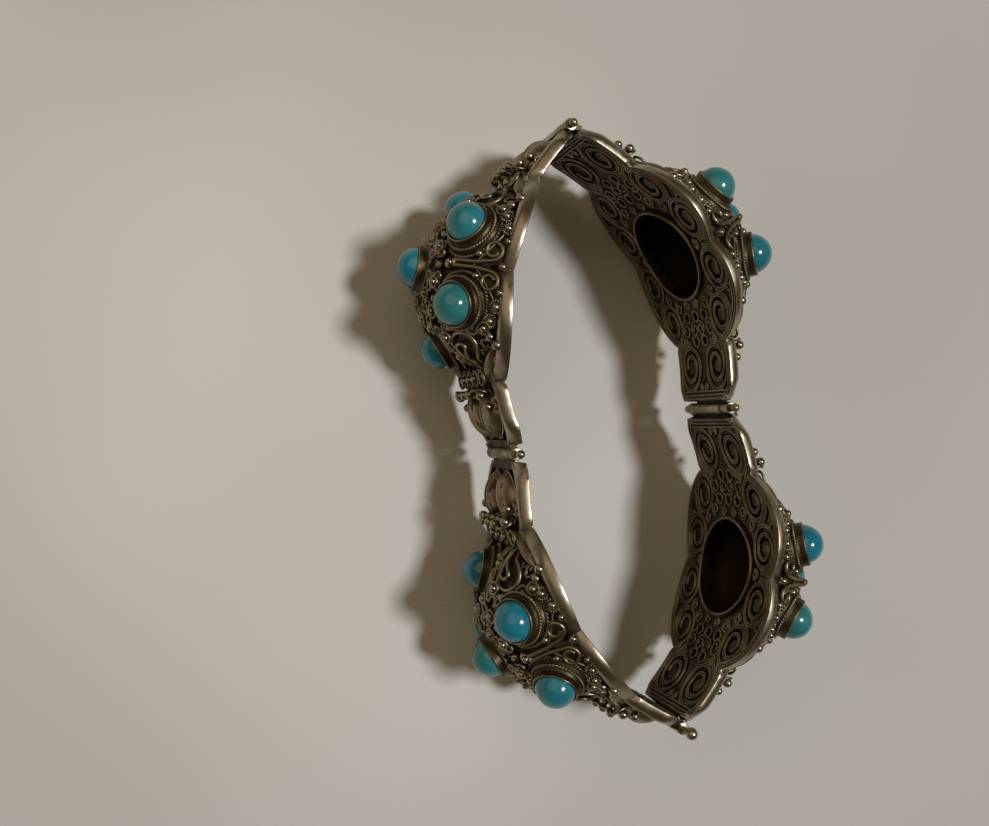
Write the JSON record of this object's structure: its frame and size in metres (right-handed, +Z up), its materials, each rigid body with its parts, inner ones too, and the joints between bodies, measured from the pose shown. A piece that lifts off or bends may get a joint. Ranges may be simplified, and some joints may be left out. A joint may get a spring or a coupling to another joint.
{
  "type": "panel bracelet",
  "caption": "Hinged filigree bracelet of stiff arched silver panels with pierced backs, domed fronts and round turquoise cabochons in flared bezels, standing on its long edge.",
  "frame": {"origin": "centre of the footprint, on the surface that the lower lobes stand on", "axes": "+Z up along the wrist opening, +Y along the long way across the bracelet, towards the top hinge"},
  "size_m": [0.0522, 0.0858, 0.0265],
  "materials": {
    "silver": "tarnished filigree silver, dark in the recesses and worn bright on the rims",
    "worn_silver": "silver worn bright",
    "turquoise": "polished blue-green stone"
  },
  "bodies": {
    "first_panel": {"panel_1": "silver", "stone_1_1": "turquoise", "stone_1_2": "turquoise", "stone_1_3": "turquoise", "stone_1_4": "turquoise", "stone_1_5": "turquoise", "stone_1_6": "turquoise", "hinge_pin_1": "worn_silver"},
    "second_panel": {"panel_2": "silver", "stone_2_1": "turquoise", "stone_2_2": "turquoise", "stone_2_3": "turquoise", "stone_2_4": "turquoise", "stone_2_5": "turquoise", "stone_2_6": "turquoise", "hinge_pin_2": "worn_silver"},
    "third_panel": {"panel_3": "silver", "stone_3_1": "turquoise", "stone_3_2": "turquoise", "stone_3_3": "turquoise", "stone_3_4": "turquoise", "stone_3_5": "turquoise", "stone_3_6": "turquoise", "clasp_pin": "worn_silver"},
    "fourth_panel": {"panel_4": "silver", "stone_4_1": "turquoise", "stone_4_2": "turquoise", "stone_4_3": "turquoise", "stone_4_4": "turquoise", "stone_4_5": "turquoise", "stone_4_6": "turquoise", "hinge_pin_3": "worn_silver"}
  },
  "joints": [
    {"name": "left_hinge", "type": "hinge", "parent": "first_panel", "child": "second_panel", "pos_m": [-0.01613, 0, 0.01323], "axis": [0, 0, 1], "range_deg": [-22, 118]},
    {"name": "top_hinge", "type": "hinge", "parent": "first_panel", "child": "fourth_panel", "pos_m": [0, 0.04201, 0.01323], "axis": [0, 0, 1], "range_deg": [-22, 118]},
    {"name": "right_hinge", "type": "hinge", "parent": "fourth_panel", "child": "third_panel", "pos_m": [0.01613, 0, 0.01323], "axis": [0, 0, 1], "range_deg": [-118, 22]}
  ],
  "couplings": [
    {"joint": "top_hinge", "follows": "left_hinge", "ratio": 1},
    {"joint": "right_hinge", "follows": "left_hinge", "ratio": -1}
  ]
}
